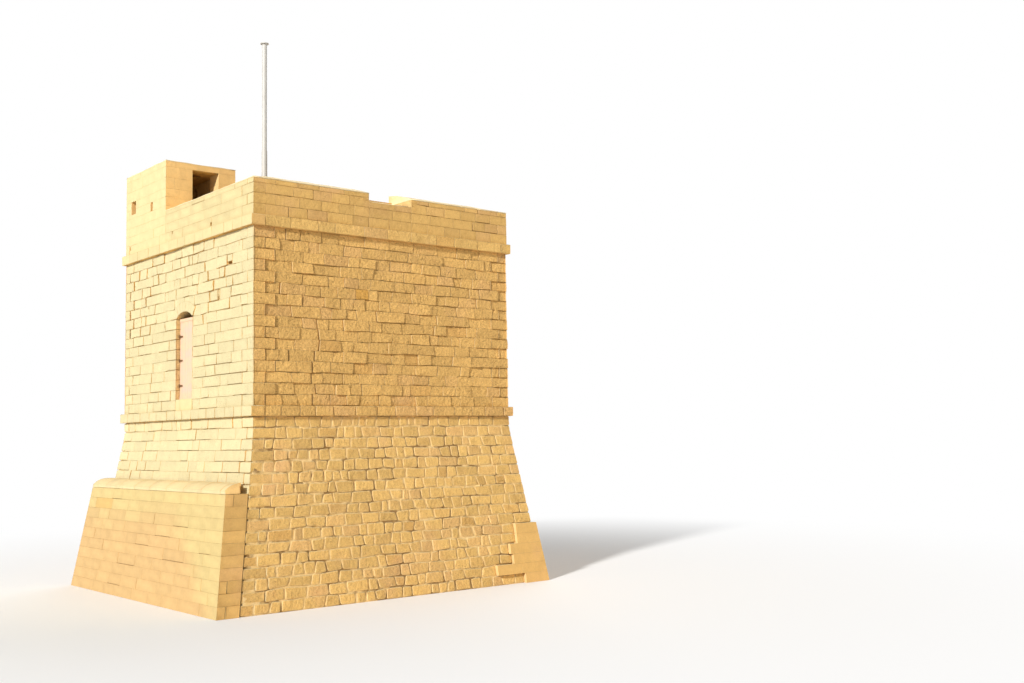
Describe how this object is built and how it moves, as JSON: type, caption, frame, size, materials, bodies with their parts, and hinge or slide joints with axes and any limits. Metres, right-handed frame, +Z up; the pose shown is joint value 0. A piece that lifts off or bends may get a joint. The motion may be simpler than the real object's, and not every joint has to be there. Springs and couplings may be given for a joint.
{
  "type": "square coastal watchtower",
  "caption": "Square two-storey stone watchtower with battered foot, apron, cordons, high doorway, embrasured parapet, roof turret and mast.",
  "frame": {"origin": "on the vertical axis of the square body, at the level of the lowest foot", "axes": "+Z up, -Y out of the front wall with the high doorway and the apron, +X out of the right wall with the embrasure"},
  "size_m": [9.692, 10.292, 15.008],
  "materials": {
    "weathered_stone": "weathered coursed limestone, eroded joints",
    "dressed_stone": "smooth dressed limestone ashlar with thin joints",
    "pale_stone": "pale limestone slabs with lime wash",
    "inner_stone": "rough inner masonry and fill",
    "door_paint": "faded pinkish paint on boards",
    "iron": "rusty wrought iron",
    "mast_paint": "white gloss paint"
  },
  "bodies": {
    "root": {"foundation_core": "inner_stone", "scarp_front": "weathered_stone", "scarp_right": "weathered_stone", "scarp_back": "weathered_stone", "scarp_left": "weathered_stone", "corner_repair": "dressed_stone", "apron": "dressed_stone", "apron_coping": "pale_stone", "lower_cordon_front": "weathered_stone", "lower_cordon_right": "weathered_stone", "lower_cordon_back": "weathered_stone", "lower_cordon_left": "weathered_stone", "lower_vault": "inner_stone", "upper_floor": "inner_stone", "front_wall_left": "weathered_stone", "front_wall_right": "weathered_stone", "front_wall_over_door": "weathered_stone", "door_sill": "pale_stone", "door_arch": "dressed_stone", "door_leaf": "door_paint", "door_hinges": "iron", "right_wall": "weathered_stone", "back_wall": "weathered_stone", "left_wall": "weathered_stone", "roof_vault": "inner_stone", "upper_cordon_front": "dressed_stone", "upper_cordon_right": "dressed_stone", "upper_cordon_back": "dressed_stone", "upper_cordon_left": "dressed_stone", "roof_deck": "pale_stone", "parapet_front": "dressed_stone", "parapet_right_near": "dressed_stone", "parapet_right_far": "dressed_stone", "embrasure_sill": "dressed_stone", "parapet_back": "dressed_stone", "parapet_left": "dressed_stone", "turret_front": "dressed_stone", "turret_left": "dressed_stone", "turret_back": "dressed_stone", "turret_right_near": "dressed_stone", "turret_right_far": "dressed_stone", "turret_roof": "pale_stone", "mast_socket": "mast_paint", "mast": "mast_paint", "mast_cap": "mast_paint"}
  },
  "joints": []
}
